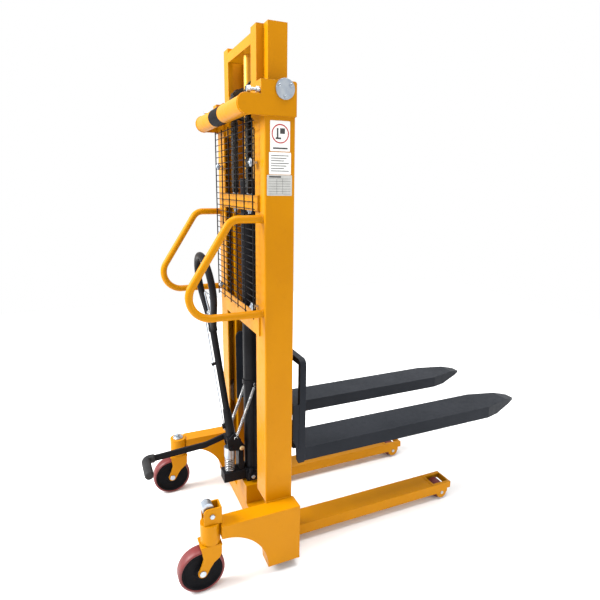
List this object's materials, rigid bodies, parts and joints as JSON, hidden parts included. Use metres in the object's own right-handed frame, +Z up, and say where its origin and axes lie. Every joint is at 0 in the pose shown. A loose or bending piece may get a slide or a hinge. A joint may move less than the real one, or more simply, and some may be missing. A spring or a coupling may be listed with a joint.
{
  "type": "walkie stacker",
  "caption": "Manual pallet stacker: telescoping mast on straddle legs with swivel casters, chain-lifted carriage with forks, foot and hand pump tiller.",
  "frame": {"origin": "centre of the overall box at floor level, under the wheels and rollers", "axes": "+X to the operator's right, +Y forward towards the fork tips, +Z up"},
  "size_m": [0.758, 1.842, 2.061],
  "materials": {
    "yellow_paint": "semi-gloss powder coat",
    "black_paint": "semi-gloss black enamel",
    "zinc": "zinc plated",
    "bare_steel": "machined, oiled",
    "rod_chrome": "hard chrome",
    "chain_steel": "greased dark steel",
    "wheel_tread": "brick-red polyurethane",
    "grip_rubber": "matt moulded rubber"
  },
  "bodies": {
    "frame": {"column_r": "yellow_paint", "column_l": "yellow_paint", "side_plates": "yellow_paint", "cross_tube": "yellow_paint", "mid_crossbar": "yellow_paint", "lower_crossbar": "yellow_paint", "cross_beam": "yellow_paint", "beam_r": "yellow_paint", "beam_l": "yellow_paint", "leg_r": "yellow_paint", "leg_l": "yellow_paint", "leg_axles": "zinc", "grab_handle_r": "yellow_paint", "grab_handle_l": "yellow_paint", "mesh_guard": "black_paint", "lift_cylinder": "black_paint", "pump_body": "black_paint", "chain_anchors": "zinc", "roller_axles": "zinc", "guide_pads": "black_paint", "fasteners": "zinc", "caster_housings": "yellow_paint", "brake_bracket": "yellow_paint", "chains_rear": "chain_steel", "return_springs": "zinc", "pump_spring": "zinc"},
    "inner_mast": {"inner_upright_r": "yellow_paint", "inner_upright_l": "yellow_paint", "inner_crossbars": "yellow_paint", "sheave_brackets": "yellow_paint", "piston_rod": "rod_chrome", "chain_wraps": "chain_steel", "chains_front": "chain_steel"},
    "sheave_pair": {"sheaves": "bare_steel"},
    "mast_roller_pair": {"mast_rollers": "bare_steel"},
    "carriage": {"carriage_frame": "black_paint", "carriage_cheeks": "black_paint", "backrest": "black_paint", "fork_r": "black_paint", "fork_l": "black_paint", "carriage_anchors": "zinc"},
    "carriage_rollers_up": {"carriage_rollers_upper": "bare_steel"},
    "carriage_rollers_low": {"carriage_rollers_lower": "bare_steel"},
    "tiller": {"rocker": "black_paint", "pedal_bar": "black_paint", "pedal_grip": "grip_rubber", "tiller_tube": "black_paint", "tiller_loop": "black_paint"},
    "lever": {"release_lever": "zinc"},
    "valve_rod": {"release_rod": "zinc"},
    "pump_plunger": {"plunger": "zinc"},
    "swivel_r": {"caster_fork_r": "yellow_paint", "caster_axle_r": "zinc"},
    "swivel_l": {"caster_fork_l": "yellow_paint", "caster_axle_l": "zinc"},
    "wheel_r": {"caster_wheel_r": "wheel_tread"},
    "wheel_l": {"caster_wheel_l": "wheel_tread"},
    "load_roller_r": {"leg_roller_r": "wheel_tread"},
    "load_roller_l": {"leg_roller_l": "wheel_tread"},
    "brake": {"brake_pedal": "zinc"}
  },
  "joints": [
    {"name": "mast_lift", "type": "slide", "parent": "frame", "child": "inner_mast", "axis": [0, 0, 1], "range_m": [-0.186, 1.015], "deforming": ["chains_rear"]},
    {"name": "carriage_lift", "type": "slide", "parent": "inner_mast", "child": "carriage", "axis": [0, 0, 1], "range_m": [-0.186, 1.015], "deforming": ["chains_front"]},
    {"name": "sheave_turn", "type": "hinge", "parent": "inner_mast", "child": "sheave_pair", "pos_m": [0, -0.419, 1.843], "axis": [1, 0, 0], "continuous": true},
    {"name": "mast_roller_turn", "type": "hinge", "parent": "inner_mast", "child": "mast_roller_pair", "pos_m": [0, -0.424, 0.52], "axis": [1, 0, 0], "continuous": true},
    {"name": "carriage_roller_up_turn", "type": "hinge", "parent": "carriage", "child": "carriage_rollers_up", "pos_m": [0, -0.4105, 0.8], "axis": [1, 0, 0], "continuous": true},
    {"name": "carriage_roller_low_turn", "type": "hinge", "parent": "carriage", "child": "carriage_rollers_low", "pos_m": [0, -0.4105, 0.56], "axis": [1, 0, 0], "continuous": true},
    {"name": "tiller_pump", "type": "hinge", "parent": "frame", "child": "tiller", "pos_m": [0, -0.495, 0.38], "axis": [1, 0, 0], "range_deg": [0, 35], "stiffness_Nm_per_rad": 60, "springref_deg": -34.38, "deforming": ["return_springs"]},
    {"name": "plunger_press", "type": "slide", "parent": "frame", "child": "pump_plunger", "axis": [0, 0, -1], "range_m": [0, 0.0288], "deforming": ["pump_spring"]},
    {"name": "release_lever_turn", "type": "hinge", "parent": "tiller", "child": "lever", "pos_m": [0, -0.61101, 1.00415], "axis": [1, 0, 0], "range_deg": [0, 12], "stiffness_Nm_per_rad": 2, "springref_deg": -28.65},
    {"name": "release_rod_slide", "type": "slide", "parent": "tiller", "child": "valve_rod", "axis": [0, 0.1323, -0.9912], "range_m": [0, 0.0051]},
    {"name": "swivel_r_turn", "type": "hinge", "parent": "frame", "child": "swivel_r", "pos_m": [0.335, -0.716, 0.2], "axis": [0, 0, 1], "continuous": true},
    {"name": "swivel_l_turn", "type": "hinge", "parent": "frame", "child": "swivel_l", "pos_m": [-0.335, -0.716, 0.2], "axis": [0, 0, 1], "continuous": true},
    {"name": "wheel_r_roll", "type": "hinge", "parent": "swivel_r", "child": "wheel_r", "pos_m": [0.335, -0.756, 0.09], "axis": [1, 0, 0], "continuous": true},
    {"name": "wheel_l_roll", "type": "hinge", "parent": "swivel_l", "child": "wheel_l", "pos_m": [-0.335, -0.756, 0.09], "axis": [1, 0, 0], "continuous": true},
    {"name": "load_roller_r_roll", "type": "hinge", "parent": "frame", "child": "load_roller_r", "pos_m": [0.21, 0.472, 0.038], "axis": [1, 0, 0], "continuous": true},
    {"name": "load_roller_l_roll", "type": "hinge", "parent": "frame", "child": "load_roller_l", "pos_m": [-0.21, 0.472, 0.038], "axis": [1, 0, 0], "continuous": true},
    {"name": "brake_press", "type": "hinge", "parent": "frame", "child": "brake", "pos_m": [0.335, -0.712, 0.321], "axis": [1, 0, 0], "range_deg": [0, 18]}
  ],
  "couplings": [
    {"joint": "carriage_lift", "follows": "mast_lift", "ratio": 1},
    {"joint": "sheave_turn", "follows": "mast_lift", "rad_per_m": 21.209},
    {"joint": "mast_roller_turn", "follows": "mast_lift", "rad_per_m": 19.724},
    {"joint": "carriage_roller_up_turn", "follows": "mast_lift", "rad_per_m": -34.247},
    {"joint": "carriage_roller_low_turn", "follows": "mast_lift", "rad_per_m": 34.247},
    {"joint": "plunger_press", "follows": "tiller_pump", "m_per_rad": 0.047},
    {"joint": "release_rod_slide", "follows": "release_lever_turn", "m_per_rad": 0.024}
  ]
}
